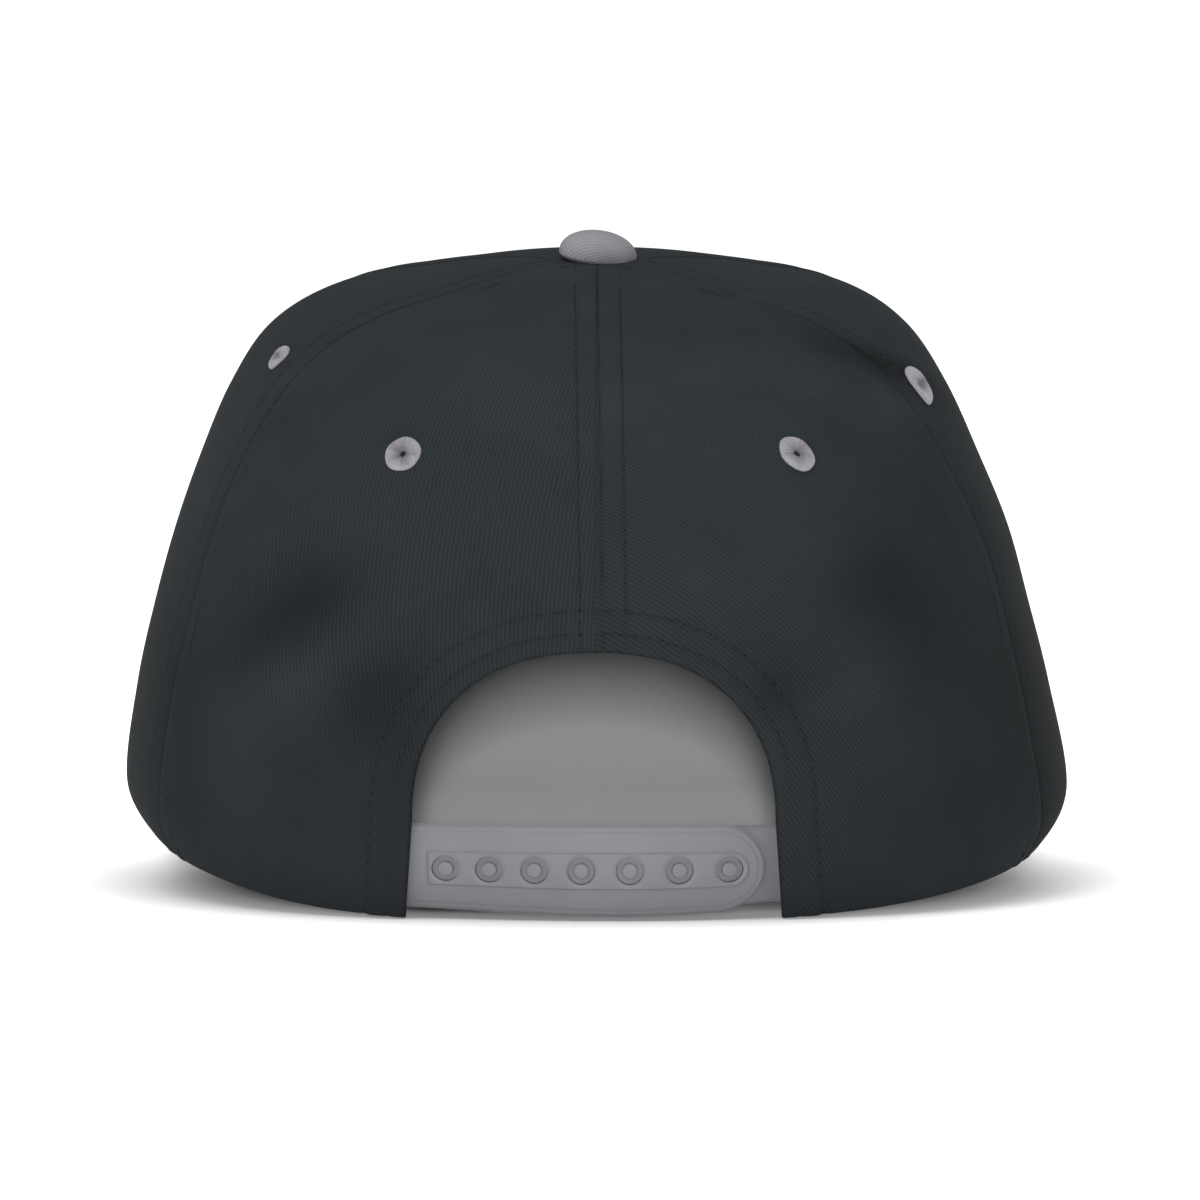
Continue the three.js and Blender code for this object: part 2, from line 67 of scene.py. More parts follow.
sectionNames = ("up", "back", "left", "right", "front", "square", "lean", "seamLeft", "seamRight")
sectionRows = [
    (0, .975, .952, .952, .965, 2.5, 0, .985, 1.01),
    (.08, 1, 1, 1, 1, 2.5, .004, .985, 1.02),
    (.25, .985, .974, .96, .995, 2.5, .012, .99, 1.03),
    (.392, .955, .934, .914, .98, 2.45, .025, 1, 1.05),
    (.525, .91, .888, .868, .95, 2.4, .04, 1.01, 1.06),
    (.655, .85, .832, .802, .9, 2.35, .06, 1.01, 1.05),
    (.775, .77, .77, .735, .83, 2.3, .082, .98, 1),
    (.875, .67, .69, .655, .735, 2.25, .098, .93, .92),
    (.937, .55, .565, .545, .6, 2.2, .105, .88, .84),
    (.969, .4, .385, .385, .43, 2.1, .106, .84, .78),
    (.993, .22, .215, .215, .235, 2, .106, .81, .75),
    (1, 0, 0, 0, 0, 2, .106, .8, .74),
]
sections = dict(zip(sectionNames, np.array(sectionRows, float).T))
lastSection = len(sectionRows) - 1

hemNames = ("turn", "left", "right")
hemRows = [(0, 0, 0), (24, 0, 0), (39, .14, .12), (56, .5, .38), (74, .87, .7), (90, 1, .9), (108, 1, 1)]
hem = dict(zip(hemNames, np.array(hemRows, float).T))

# Soft dents and ridges: place, reach in degrees and in climb, slant, depth as a share
foldNames = ("turn", "climb", "reach", "spread", "slant", "depth")
foldRows = [
    (-43, .37, 10, .07, .004, .5),
    (-32, .245, 8, .05, .004, .4),
    (42, .37, 8, .1, .004, .5),
    (24, .24, 5, .06, -.004, .3),
    (70, .76, 12, .03, -.003, .7),
    (72, .65, 8, .025, -.003, .5),
]
folds = [dict(zip(foldNames, row)) for row in foldRows]

# Painted shade and painted light on the back of the cloth, as seen: darker in the dents, in the creases and
# on the sides, lighter on the ridges and higher up. Across and up in millimetres, their half sizes, turned by
# degrees, and the change of tone
shadeNames = ("x", "z", "wide", "high", "turned", "tone")
shadeRows = [
    (-56, 61, 13, 8, 28, -.36),
    (-67, 52, 12, 5, 35, -.22),
    (-42, 43, 14, 8, 48, -.36),
    (-38, 28, 6, 14, -10, -.16),
    (-56, 47, 14, 4, 35, .16),
    (-84, 40, 8, 26, 8, -.24),
    (-70, 26, 8, 14, 10, .1),
    (55, 64, 8, 9, -20, -.3),
    (64, 54, 17, 9, -50, -.16),
    (74, 58, 16, 50, 12, -.18),
    (35, 44, 6, 7, 30, -.3),
    (46, 42, 8, 4, 10, .12),
    (30, 78, 16, 14, 0, .06),
    (-12, 100, 20, 8, 0, .08),
    (20, 100, 18, 8, 0, .06),
    (64, 101, 13, 2, -27, -.5),
    (49, 108, 14, 2.2, -20, -.4),
    (60, 97, 10, 1.6, -28, .24),
    (74, 92, 8, 3, -45, -.4),
    (46, 99, 16, 2, -30, .14),
    (-60, 103, 14, 1.6, 30, .14),
    (-56, 98, 15, 1.8, 32, -.12),
    (-76, 82, 3, 14, -20, .1),
    (88, 36, 7, 30, 8, -.3),
    (86, 74, 5, 20, 18, -.3),
    (-86, 70, 4, 20, -16, -.2),
    (70, 20, 14, 10, 10, -.12),
]
shades = [dict(zip(shadeNames, row)) for row in shadeRows]


# Two coordinates measured along axes that are turned by an angle
def turnedAxes(a, b, angle):
    c, s = math.cos(angle), math.sin(angle)
    return a * c + b * s, b * c - a * s


# Painted light and shade of the crown's cloth, from the table above; it fades out towards the sides and is
# gone in front of the axis
def paintedLightAndShade(points):
    tone = np.ones(points.shape[:-1])
    behind = smooth(-points[..., 1], 0, crown["shadeFade"])
    for shade in shades:
        x, z = points[..., 0] - shade["x"], points[..., 2] - shade["z"]
        u, v = turnedAxes(x, z, math.radians(shade["turned"]))
        u, v = u / shade["wide"], v / shade["high"]
        tone += shade["tone"] * np.exp(-u * u - v * v) * behind
    return tone


# Smooth curve through a column of a table, at a row number that may have a fraction
def column(table, name, index):
    values = table[name]
    k = np.clip(np.floor(index).astype(int), 0, len(values) - 2)
    f = index - k
    a, b, c, d = (values[np.clip(k + step, 0, len(values) - 1)] for step in (-1, 0, 1, 2))
    return b + 0.5 * f * (c - a + f * (2 * a - 5 * b + 4 * c - d + f * (3 * (b - c) + d - a)))


def smooth(value, low, high):
    share = np.clip((value - low) / (high - low), 0, 1)
    return share * share * (3 - 2 * share)


def bell(value, width):
    return np.exp(-(value / width) ** 2)


def unit(vectors):
    return vectors / np.linalg.norm(vectors, axis=-1, keepdims=True)


def wrapTurn(turn):
    return turn - 360 * np.round(turn / 360)


def sectionRadius(turn, climb):
    index = climb * lastSection
    s, c = np.sin(np.radians(turn)), np.cos(np.radians(turn))
    sides = np.where(s > 0, column(sections, "right", index), column(sections, "left", index))
    halfX = np.maximum(crown["halfWidth"] * sides, tiny)
    halfY = np.where(c > 0, crown["backDepth"] * column(sections, "back", index),
                     crown["frontDepth"] * column(sections, "front", index))
    halfY = np.maximum(halfY, tiny)
    square = column(sections, "square", index)
    return (np.abs(s / halfX) ** square + np.abs(c / halfY) ** square) ** (-1 / square)


brim = {
    "length": 72,
    "wall": 3.2,
    "edgeRound": 1.3,
    "shoulder": 2,
    "squareness": 3.1,
    "reach": 72,             # half its spread, in degrees round the crown
    "ribs": 60,              # direction of its twill, in degrees
    "stitchRows": 6,
    "firstRow": 5,
    "rowPitch": 6.5,
    "rowClear": 4,           # a row stops this far from the crown
    "threadLift": 0.06,
}
cornerTurn = crown["brimCornerTurn"]
brimCornerY = float(-sectionRadius(cornerTurn, 0.) * math.cos(math.radians(cornerTurn)))
brimTipY = float(sectionRadius(180., 0.)) + brim["length"]
brimSlope = (crown["hemRise"] - crown["fitGap"] - brim["wall"]) / (brimTipY - brimCornerY)


def brimTopAt(y):
    return brim["wall"] + (brimTipY - y) * brimSlope


def hemHeight(turn):
    away = np.abs(wrapTurn(turn))
    index = np.interp(away, hem["turn"], np.arange(len(hemRows)))
    share = np.where(wrapTurn(turn) > 0, column(hem, "right", index), column(hem, "left", index))
    y = -sectionRadius(turn, 0. * turn) * np.cos(np.radians(turn))
    return np.where(away > cornerTurn, brimTopAt(y) + crown["fitGap"], crown["hemRise"] * share)


# The seams in order round the crown, from the front middle to the front middle
def seamTurns(climb):
    index = climb * lastSection
    left = -crown["sideSeamTurn"] * column(sections, "seamLeft", index)
    right = crown["sideSeamTurn"] * column(sections, "seamRight", index)
    rear = crown["rearSeamTurn"] * (1 - climb)
    front = crown["frontSeamTurn"] + 0 * climb
    middle = 180 + 0 * climb
    return [-middle, -front, left, rear, right, front, middle]


# Degrees from a turn to the nearest seam
def turnToSeam(turn, seams):
    return np.min([np.abs(wrapTurn(turn - place)) for place in seams], axis=0)


def crownRadius(turn, climb):
    plain = sectionRadius(turn, climb)
    seams = seamTurns(climb)
    away = np.radians(turnToSeam(turn, seams)) * plain
    sag = crown["seamSag"] * bell(away, crown["seamSagWidth"])
    place = wrapTurn(turn)
    across = np.zeros_like(plain)
    for low, high in zip(seams, seams[1:]):
        across = np.where((place >= low) & (place <= high), (place - low) / (high - low), across)
    swell = crown["bulge"] * np.sin(np.pi * across) ** 2 * np.sin(np.pi * climb)
    pull = np.zeros_like(plain)
    for fold in folds:
        along = wrapTurn(turn - fold["turn"])
        u = along / fold["reach"]
        v = (climb - fold["climb"] - fold["slant"] * along) / fold["spread"]
        pull += crown["foldDepth"] * fold["depth"] * np.exp(-u * u - v * v)
    calm = smooth(plain, 0, crown["halfWidth"] / 4)     # the top stays plain
    return plain + calm * (swell - sag - pull)


def crownPoints(turn, climb):
    radius = crownRadius(turn, climb)
    y = -radius * np.cos(np.radians(turn))
    index = climb * lastSection
    low = hemHeight(turn)
    z = low + (crown["height"] - low) * column(sections, "up", index) + column(sections, "lean", index) * y
    return np.stack([radius * np.sin(np.radians(turn)), y, z], axis=-1)


def crownNormals(turn, climb):
    step = 0.004
    low, high = np.maximum(climb - step, 0), np.minimum(climb + step, 1 - step)
    around = crownPoints(turn + 1, climb) - crownPoints(turn - 1, climb)
    return unit(np.cross(around, crownPoints(turn, high) - crownPoints(turn, low)))


def underCrown(turn, climb, depth):
    return crownPoints(turn, climb) - crownNormals(turn, climb) * depth[..., None]


def climbAtHeight(turn, height):
    low, high = np.zeros_like(turn), np.full_like(turn, 0.9)
    for _ in range(18):
        middle = (low + high) / 2
        below = crownPoints(turn, middle)[..., 2] < height
        low, high = np.where(below, middle, low), np.where(below, high, middle)
    return low


# Turn and climb of a place on the back of the crown, seen straight from behind
def crownPlace(x, z):
    turn = np.degrees(np.arcsin(np.clip(x / crown["backDepth"], -0.9, 0.9)))
    for _ in range(7):
        climb = climbAtHeight(turn, z)
        turn = np.degrees(np.arcsin(np.clip(x / crownRadius(turn, climb), -0.9, 0.9)))
    return turn, climb


def inFrame(points):
    return (points + np.array([0, crown["centreY"], 0])) * mm


def choose(piece):
    bpy.ops.object.select_all(action="DESELECT")
    piece.select_set(True)
    bpy.context.view_layer.objects.active = piece


def add(operator, **settings):
    bpy.ops.object.select_all(action="DESELECT")
    operator(**settings)
    return bpy.context.object


def finishPiece(piece, name, nodes, material, angle):
    piece.name = name
    piece.data.name = name
    piece.data.materials.clear()
    piece.data.materials.append(material)
    choose(piece)
    bpy.ops.object.shade_smooth_by_angle(angle=math.radians(angle))
    piece.select_set(False)
    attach(piece, "root")
    if nodes:
        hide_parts(*nodes)
    return piece


def pointsOf(piece):
    return np.array([v.co for v in piece.data.vertices])


def movePoints(piece, points):
    piece.data.vertices.foreach_set("co", points.reshape(-1).astype(np.float32))
    piece.data.update()


# Painted light and shade at each point of a piece's cloth or thread, as a tone: its material's colour is
# multiplied by this
def giveTone(piece, tone):
    values = tone.reshape(-1).astype(np.float32)
    piece.data.attributes.new("tone", "FLOAT", "POINT").data.foreach_set("value", values)


# The UV map "cloth" holds each point's place on flat cloth, in millimetres
def giveCloth(piece, cloth):
    mesh = piece.data
    corner = np.zeros(len(mesh.loops), np.int32)
    mesh.loops.foreach_get("vertex_index", corner)
    mesh.uv_layers.active.name = "cloth"
    flat = cloth.reshape(-1, 2)[corner].astype(np.float32)
    mesh.uv_layers.active.data.foreach_set("uv", flat.reshape(-1))


def applyModifier(piece, kind, settings):
    choose(piece)
    modifier = piece.modifiers.new(kind.lower(), kind)
    for key, value in settings.items():
        setattr(modifier, key, value)
    bpy.ops.object.modifier_apply(modifier=modifier.name)
    piece.select_set(False)


def editPiece(piece, work):
    choose(piece)
    bpy.ops.object.mode_set(mode="EDIT")
    bpy.ops.mesh.select_all(action="SELECT")
    work()
    bpy.ops.object.mode_set(mode="OBJECT")
    piece.select_set(False)


# A grid primitive whose rows run up and columns run across, thickened, with its points put
# in place: outer is the side that shows and inner the side behind it
def thickSheet(outer, inner, cloth=None):
    rows, columns = outer.shape[0] - 1, outer.shape[1] - 1
    piece = add(bpy.ops.mesh.primitive_grid_add, x_subdivisions=columns, y_subdivisions=rows, size=2)
    if cloth is not None:
        giveCloth(piece, cloth)
    applyModifier(piece, "SOLIDIFY", {"thickness": 0.1, "offset": -1})
    movePoints(piece, np.concatenate([outer.reshape(-1, 3), inner.reshape(-1, 3)]))
    editPiece(piece, lambda: bpy.ops.mesh.normals_make_consistent(inside=False))
    return piece


def gridShares(columns, rows):
    across, up = np.meshgrid(np.linspace(0, 1, columns + 1), np.linspace(0, 1, rows + 1))
    return across, up


def crowded(share, amount):
    return (1 - amount) * share + amount * (1 - np.cos(np.pi * share)) / 2


# Opening at the back
arch = {
    "halfWidth": 35.3,
    "hemHalfWidth": 36.6,
    "centreX": -0.6,
    "top": 51.8,
    "spring": 19.5,
    "foot": 0.05,
    "roundness": 2.3,
    "rollRadius": 1,         # the folded edge, half as thick as the hem
    "hemWall": 2.1,
    "hemFade": (2, 8),       # from the hem's thickness to the cloth's
    "fold": 0.35,            # how far the folded cloth stands out, up to the second stitch row
    "foldEnds": (0.6, 0.4),  # before and after that row
    "rows": (3.4, 7.8),      # stitch rows, as far from the edge as this
    "rowsFrom": (31, 1),     # height where each row starts
    "rowDips": (0.22, 0.28),
    "rowWidth": 0.6,
    "noArch": 99,            # distance given to the front, which has no opening
}


# Points on the arch's edge pushed out by a distance, from the hem up to the middle
def archLine(side, away, count=500):
    straight = np.linspace(0, 1, count // 3)[:-1]
    half = arch["hemHalfWidth"] + (arch["halfWidth"] - arch["hemHalfWidth"]) * straight
    height = arch["foot"] + (arch["spring"] - arch["foot"]) * straight
    legs = np.stack([half + away, height], axis=-1)
    angle = np.linspace(0, np.pi / 2, count)
    x = arch["halfWidth"] * np.cos(angle) ** (2 / arch["roundness"])
    z = (arch["top"] - arch["spring"]) * np.sin(angle) ** (2 / arch["roundness"])
    reach = np.hypot(x, z)
    bow = np.stack([x * (reach + away) / reach, arch["spring"] + z * (reach + away) / reach], axis=-1)
    line = np.concatenate([legs, bow])
    return arch["centreX"] + side * line[:, 0], line[:, 1]


# How far a place on the back is from the edge of the opening
def archDistance(points):
    x = np.abs(points[..., 0] - arch["centreX"])
    z = points[..., 2] - arch["spring"]
    reach = np.maximum(np.hypot(x, z), tiny)
    share = (x / arch["halfWidth"]) ** arch["roundness"]
    share = share + (np.maximum(z, 0) / (arch["top"] - arch["spring"])) ** arch["roundness"]
    over = reach - reach / share ** (1 / arch["roundness"])
    half = arch["halfWidth"] + (arch["hemHalfWidth"] - arch["halfWidth"]) * np.clip(-z / arch["spring"], 0, 1)
    away = np.where(z > 0, over, x - half)
    return np.where(points[..., 1] < 0, away, arch["noArch"])


seam = {
    "roll": 0.35,            # how round each panel's edge turns down into the seam
    "puff": 0.22,
    "puffWidth": 1,
    "puffEnds": (-1.2, 0.6), # where it falls again, from the stitch row
    "rows": 4.4,             # stitch rows on both sides of a seam
    "rowDip": 0.14,
    "rowWidth": 0.5,
    "rowClimbs": (0.012, 0.985),
    "rowEndRadius": 9,       # the rows end here, under the button
    "archClear": 0.6,        # and this far from the opening
    "threadLift": 0.02,
    "calm": (6, 16),         # the relief fades in between these radii, round the button
}


# How far a folded edge has turned under, at a distance from it
def rolled(away, radius):
    inside = np.clip(1 - away / radius, 0, 1)
    return radius * (1 - np.sqrt(1 - inside * inside))


def edgeDistance(turn, points):
    return np.minimum(archDistance(points), points[..., 2] - hemHeight(turn))


# Outward relief of the sewn cloth, in millimetres
def sewnRelief(turn, climb, points):
    radius = sectionRadius(turn, climb)
    away = np.radians(turnToSeam(turn, seamTurns(climb))) * radius
    row = away - seam["rows"]
    relief = seam["puff"] * smooth(away, 0, seam["puffWidth"]) * (1 - smooth(row, *seam["puffEnds"]))
    relief = relief - rolled(away, seam["roll"]) - seam["rowDip"] * bell(row, seam["rowWidth"])
    relief = relief * smooth(radius, *seam["calm"])
    edge = archDistance(points)
    second = arch["rows"][1]
    before, after = arch["foldEnds"]
    fold = arch["fold"] * (1 - smooth(edge, second - before, second + after))
    for place, dip in zip(arch["rows"], arch["rowDips"]):
        fold = fold - dip * bell(edge - place, arch["rowWidth"])
    return relief + fold - rolled(edgeDistance(turn, points), arch["rollRadius"])


# The ribs of a rear panel bend with its cloth: shares of a sum over s, its place across, and v,
# its place up, each in units of the length given
ribNames = ("s", "v", "ss", "sv", "vv", "sss", "ssv", "svv", "vvv")
ribBends = {
    "rear_left_panel": (51.3, 31.3, .4, -19, -34.6, -.6, 1.2, 13.7, 4.4),
    "rear_right_panel": (10.9, 37.7, 20, 14.9, 15.1, -4.5, -4.8, -8, 14.5),
}
ribUnits = {"s": 50, "v": 100}
panels = [
    {"name": "front_left_panel", "ribs": 62, "middle": -151},
    {"name": "side_left_panel", "ribs": 68, "middle": -93},
    {"name": "rear_left_panel", "ribs": 85, "middle": -32},
    {"name": "rear_right_panel", "ribs": 140, "middle": 32},
    {"name": "side_right_panel", "ribs": 125, "middle": 93},
    {"name": "front_right_panel", "ribs": 118, "middle": 151},
]


def lengthsAlong(points):
    steps = np.linalg.norm(np.diff(points, axis=0), axis=1)
    return np.concatenate([[0], np.cumsum(steps)])


# Flat place of cloth, across its ribs and along them, where the ribs stand at an angle
def ribPlace(across, up, ribs):
    along, off = turnedAxes(across, up, math.radians(ribs))
    return np.stack([-off, along], axis=-1)


def clothPlace(turn, climb, panel):
    share = np.linspace(0, 1, 301)
    line = crownPoints(np.full(301, panel["middle"]), share)
    up = np.interp(climb, share, lengthsAlong(line))
    bends = ribBends.get(panel["name"])
    start = 0 if bends else panel["middle"]
    across = np.radians(turn - start) * sectionRadius(turn, climb)
    place = ribPlace(across, up, panel["ribs"])
    if bends:
        values = {"s": across / ribUnits["s"], "v": up / ribUnits["v"]}
        place[..., 0] = sum(bend * np.prod([values[letter] for letter in name], axis=0)
                            for name, bend in zip(ribNames, bends))
    return place


# A panel's grid of points, closer together near its edges
sheet = {
    "columns": 110,
    "rows": 150,
    "crowdAcross": 0.8,
    "crowdUp": 0.6,
    "topClimb": 0.997,
    "blendFrom": 0.985,      # share of a rear panel's top edge that turns to its corner
    "innerRoll": 0.95,
}


# Values inside a grid, from those on its four edges
def gridBetween(left, right, low, high, across, up):
    b, a = np.meshgrid(across, up)
    ruled = (1 - b) * left[:, None] + b * right[:, None] + (1 - a) * low[None, :] + a * high[None, :]
    corners = (1 - a) * ((1 - b) * left[0] + b * right[0]) + a * ((1 - b) * left[-1] + b * right[-1])
    return ruled - corners


# A rear panel lies between the arch, the side seam, the hem and the rear seam above the arch
def rearPlaces(side):
    reach = crowded(np.linspace(0, 1, sheet["columns"] + 1), sheet["crowdAcross"])
    share = crowded(np.linspace(0, 1, sheet["rows"] + 1), sheet["crowdUp"])
    edgeTurn, edgeClimb = crownPlace(*archLine(side, 0))
    length = lengthsAlong(crownPoints(edgeTurn, edgeClimb))
    archTurn = np.interp(share * length[-1], length, edgeTurn)
    archClimb = np.interp(share * length[-1], length, edgeClimb)
    archTurn[-1] = crown["rearSeamTurn"] * (1 - archClimb[-1])
    sideClimb = share * sheet["topClimb"]
    sideTurn = seamTurns(sideClimb)[2 if side < 0 else 4]
    hemTurn = archTurn[0] + (sideTurn[0] - archTurn[0]) * reach
    rearClimb = archClimb[-1] + (sheet["topClimb"] - archClimb[-1]) * reach
    rearTurn = crown["rearSeamTurn"] * (1 - rearClimb)
    blend = smooth(reach, sheet["blendFrom"], 1)
    rearTurn = rearTurn * (1 - blend) + sideTurn[-1] * blend
    turn = gridBetween(archTurn, sideTurn, hemTurn, rearTurn, reach, share)
    climb = gridBetween(archClimb, sideClimb, 0 * reach, rearClimb, reach, share)
    return turn, climb


def panelPlaces(k, panel):
    if "rear" in panel["name"]:
        return rearPlaces(-1 if "left" in panel["name"] else 1)
    across, up = gridShares(sheet["columns"], sheet["rows"])
    climb = crowded(up, sheet["crowdUp"]) * sheet["topClimb"]
    seams = seamTurns(climb)
    turn = seams[k] + (seams[k + 1] - seams[k]) * crowded(across, sheet["crowdAcross"])
    return turn, climb


# Shader maths in plain sums: a value is one output of a material's nodes
class Value:
    def __init__(self, shader, socket):
        self.shader = shader
        self.socket = socket

    def maths(self, operation, *others):
        sockets = dict(enumerate([self, *others]))
        return self.shader.node("ShaderNodeMath", {"operation": operation}, sockets)

    def __add__(self, other):
        return self.maths("ADD", other)

    def __sub__(self, other):
        return self.maths("SUBTRACT", other)

    def __mul__(self, other):
        return self.maths("MULTIPLY", other)

    def wave(self, pitch):
        return (self * (2 * math.pi / pitch)).maths("SINE")

    def clamp(self):
        return self.maths("MAXIMUM", 0).maths("MINIMUM", 1)


class Shader:
    def __init__(self, name):
        self.material = bpy.data.materials.new(name)
        self.material.use_nodes = True
        self.tree = self.material.node_tree
        self.tree.nodes.clear()

    def node(self, kind, settings, sockets, output=0):
        made = self.tree.nodes.new(kind)
        for key, value in settings.items():
            setattr(made, key, value)
        for key, value in sockets.items():
            if isinstance(value, Value):
                self.tree.links.new(value.socket, made.inputs[key])
            else:
                made.inputs[key].default_value = value
        return Value(self, made.outputs[output])

    # Places in the object, in metres, and on the cloth, in millimetres
    def objectPlace(self):
        return self.node("ShaderNodeTexCoord", {}, {}, 3)

    def clothPlace(self):
        return self.node("ShaderNodeUVMap", {"uv_map": "cloth"}, {})

    def part(self, vector, index):
        return self.node("ShaderNodeSeparateXYZ", {}, {0: vector}, index)

    # The painted light and shade that giveTone gave a piece
    def givenTone(self):
        return self.node("ShaderNodeAttribute", {"attribute_name": "tone"}, {}, 2)

    def noise(self, place, scale, detail, roughness=0.55):
        return self.node("ShaderNodeTexNoise", {}, {
            "Vector": place, "Scale": scale, "Detail": detail, "Roughness": roughness})

    def mix(self, share, low, high, blend="MIX"):
        settings = {"data_type": "RGBA", "blend_type": blend}
        return self.node("ShaderNodeMix", settings, {0: share, 6: low, 7: high}, 2)

    def bump(self, height, strength, distance):
        return self.node("ShaderNodeBump", {}, {"Strength": strength, "Distance": distance, "Height": height})

    def tinted(self, colour, value):
        grey = self.node("ShaderNodeCombineColor", {}, {0: value, 1: value, 2: value})
        return self.mix(1, colour, grey, "MULTIPLY")

    def finish(self, sockets):
        surface = self.node("ShaderNodeBsdfPrincipled", {}, sockets)
        out = self.tree.nodes.new("ShaderNodeOutputMaterial")
        self.tree.links.new(surface.socket, out.inputs["Surface"])
        return self.material


# Screen colour, 0 to 255, in the linear light that the materials take
def colour(red, green, blue):
    linear = [((c / 255 + 0.055) / 1.055) ** 2.4 if c > 10 else c / 255 / 12.92 for c in (red, green, blue)]
    return (*linear, 1)


# How much ribs, yarns, fuzz and patches count in the relief and in the tone of a twill
twill = {
    "ribRelief": 0.75, "yarnRelief": 0.25, "fuzzRelief": 0.3,
    "ribTone": 0.44, "fuzzTone": 0.4, "patchTone": 0.5, "toneDrop": 0.17,
    "stray": 0.5,            # how far the ribs stray
    "yarnSlant": 0.5, "yarnPitch": 0.8,
    # painted shade: the cloth darkens towards the floor, from this tone at the floor to its full tone at
    # shadeHeight
    "hemShade": 0.72,        # tone at the floor
    "shadeHeight": 0.125,    # the cloth has its full tone above this, in metres
}


def twillMaterial(name, light, dark, spacing, sheen):
    shader = Shader(name)
    place = shader.clothPlace()
    x, y = shader.part(place, 0), shader.part(place, 1)
    wander = shader.noise(place, 0.3, 2) - 0.5
    ribs = (x + wander * twill["stray"]).wave(spacing) * 0.5 + 0.5
    yarns = (y + x * twill["yarnSlant"]).wave(spacing * twill["yarnPitch"]) * 0.5 + 0.5
    fuzz = shader.noise(place, 4, 3)
    patch = shader.noise(place, 0.05, 3)
    relief = ribs * twill["ribRelief"] + yarns * ribs * twill["yarnRelief"] + fuzz * twill["fuzzRelief"]
    tone = ribs * twill["ribTone"] + fuzz * twill["fuzzTone"] + patch * twill["patchTone"]
    tone = (tone - twill["toneDrop"]).clamp()
    # Painted shade, darker towards the floor, times the painted light and shade that the piece carries
    height = shader.part(shader.objectPlace(), 2)
    lifted = (height * (1 / twill["shadeHeight"])).clamp()
    shade = (lifted * (1 - twill["hemShade"]) + twill["hemShade"]) * shader.givenTone()
    return shader.finish({
        "Base Color": shader.tinted(shader.mix(tone, dark, light), shade),
        "Roughness": fuzz * 0.1 + 0.86, "Normal": shader.bump(relief, 0.5, 0.00018),
        "Specular IOR Level": 0.12, "Sheen Weight": sheen, "Sheen Roughness": 0.6, "Sheen Tint": light})


def threadMaterial(name, light, dark, sheen, shine):
    shader = Shader(name)
    grain = shader.noise(shader.objectPlace(), 2600, 2)
    return shader.finish({
        "Base Color": shader.tinted(shader.mix(grain, dark, light), shader.givenTone()),
        "Roughness": grain * 0.15 + 0.75, "Normal": shader.bump(grain, 0.4, 0.00008),
        "Specular IOR Level": shine, "Sheen Weight": sheen, "Sheen Roughness": 0.4})


def plainWeaveMaterial(name, light, dark, spacing):
    shader = Shader(name)
    place = shader.clothPlace()
    weave = shader.part(place, 0).wave(spacing) * shader.part(place, 1).wave(spacing) * 0.5 + 0.5
    fuzz = shader.noise(place, 1.4, 4, 0.7)
    tone = (weave * 0.15 + fuzz * 0.85).clamp()
    relief = weave * 0.3 + fuzz * 0.7
    return shader.finish({
        "Base Color": shader.mix(tone, dark, light), "Roughness": fuzz * 0.1 + 0.85,
        "Normal": shader.bump(relief, 0.25, 0.0001), "Specular IOR Level": 0.2,
        "Sheen Weight": 0.1, "Sheen Roughness": 0.5})


def plasticMaterial(name, light, dark):
    shader = Shader(name)
    place = shader.objectPlace()
    grain = shader.noise(place, 3000, 3)
    cloud = shader.noise(place, 90, 2)
    return shader.finish({
        "Base Color": shader.mix((grain * 0.5 + cloud * 0.5).clamp(), dark, light),
        "Roughness": grain * 0.12 + 0.5, "Normal": shader.bump(grain, 0.25, 0.00005),
        "Specular IOR Level": 0.4})


crownTwill = twillMaterial("crown_twill", colour(45, 50, 53), colour(25, 29, 31), 0.74, 0)
crownThread = threadMaterial("crown_thread", colour(37, 42, 46), colour(26, 30, 33), 0, 0.1)
# Painted shade: near-black beads between the stitches stand for the shade in the needle holes
needleHoleShade = threadMaterial("needle_hole", colour(18, 20, 22), colour(12, 14, 16), 0, 0)
trimTwill = twillMaterial("trim_twill", colour(150, 149, 154), colour(112, 111, 116), 0.6, 0.08)
trimThread = threadMaterial("trim_thread", colour(160, 158, 164), colour(134, 132, 138), 0.12, 0.25)
bandCloth = plainWeaveMaterial("band_weave", colour(188, 188, 188), colour(172, 172, 172), 0.6)
strapPlastic = plasticMaterial("strap_plastic", colour(114, 113, 118), colour(96, 95, 100))
print("materials made")


def buildPanels():
    for k, panel in enumerate(panels):
        turn, climb = panelPlaces(k, panel)
        base = crownPoints(turn, climb)
        normals = crownNormals(turn, climb)
        edge = edgeDistance(turn, base)
        hemShare = 1 - smooth(edge, *arch["hemFade"])
        behind = crown["wall"] + (arch["hemWall"] - crown["wall"]) * hemShare
        behind = behind - rolled(edge, arch["rollRadius"]) * sheet["innerRoll"]
        outer = base + normals * sewnRelief(turn, climb, base)[..., None]
        inner = base - normals * behind[..., None]
        for face in (outer, inner):
            face[..., 2] = np.maximum(face[..., 2], crown["lowest"])
        piece = thickSheet(inFrame(outer), inFrame(inner), clothPlace(turn, climb, panel))
        giveTone(piece, paintedLightAndShade(np.stack([outer, inner])))
        finishPiece(piece, panel["name"] + "_cloth", [panel["name"]], crownTwill, 60)
    print("panels sewn:", len(panels))


# The first stitch of a line stands at its offset, a share of the pitch
brimStitch = {"pitch": 2.6, "length": 2.1, "width": 0.42, "height": 0.36, "offset": 0.5}
crownStitch = {**brimStitch, "length": 2.2}
holeStitch = {**brimStitch, "length": 0.36, "width": 0.3, "height": 0.3, "offset": 0}


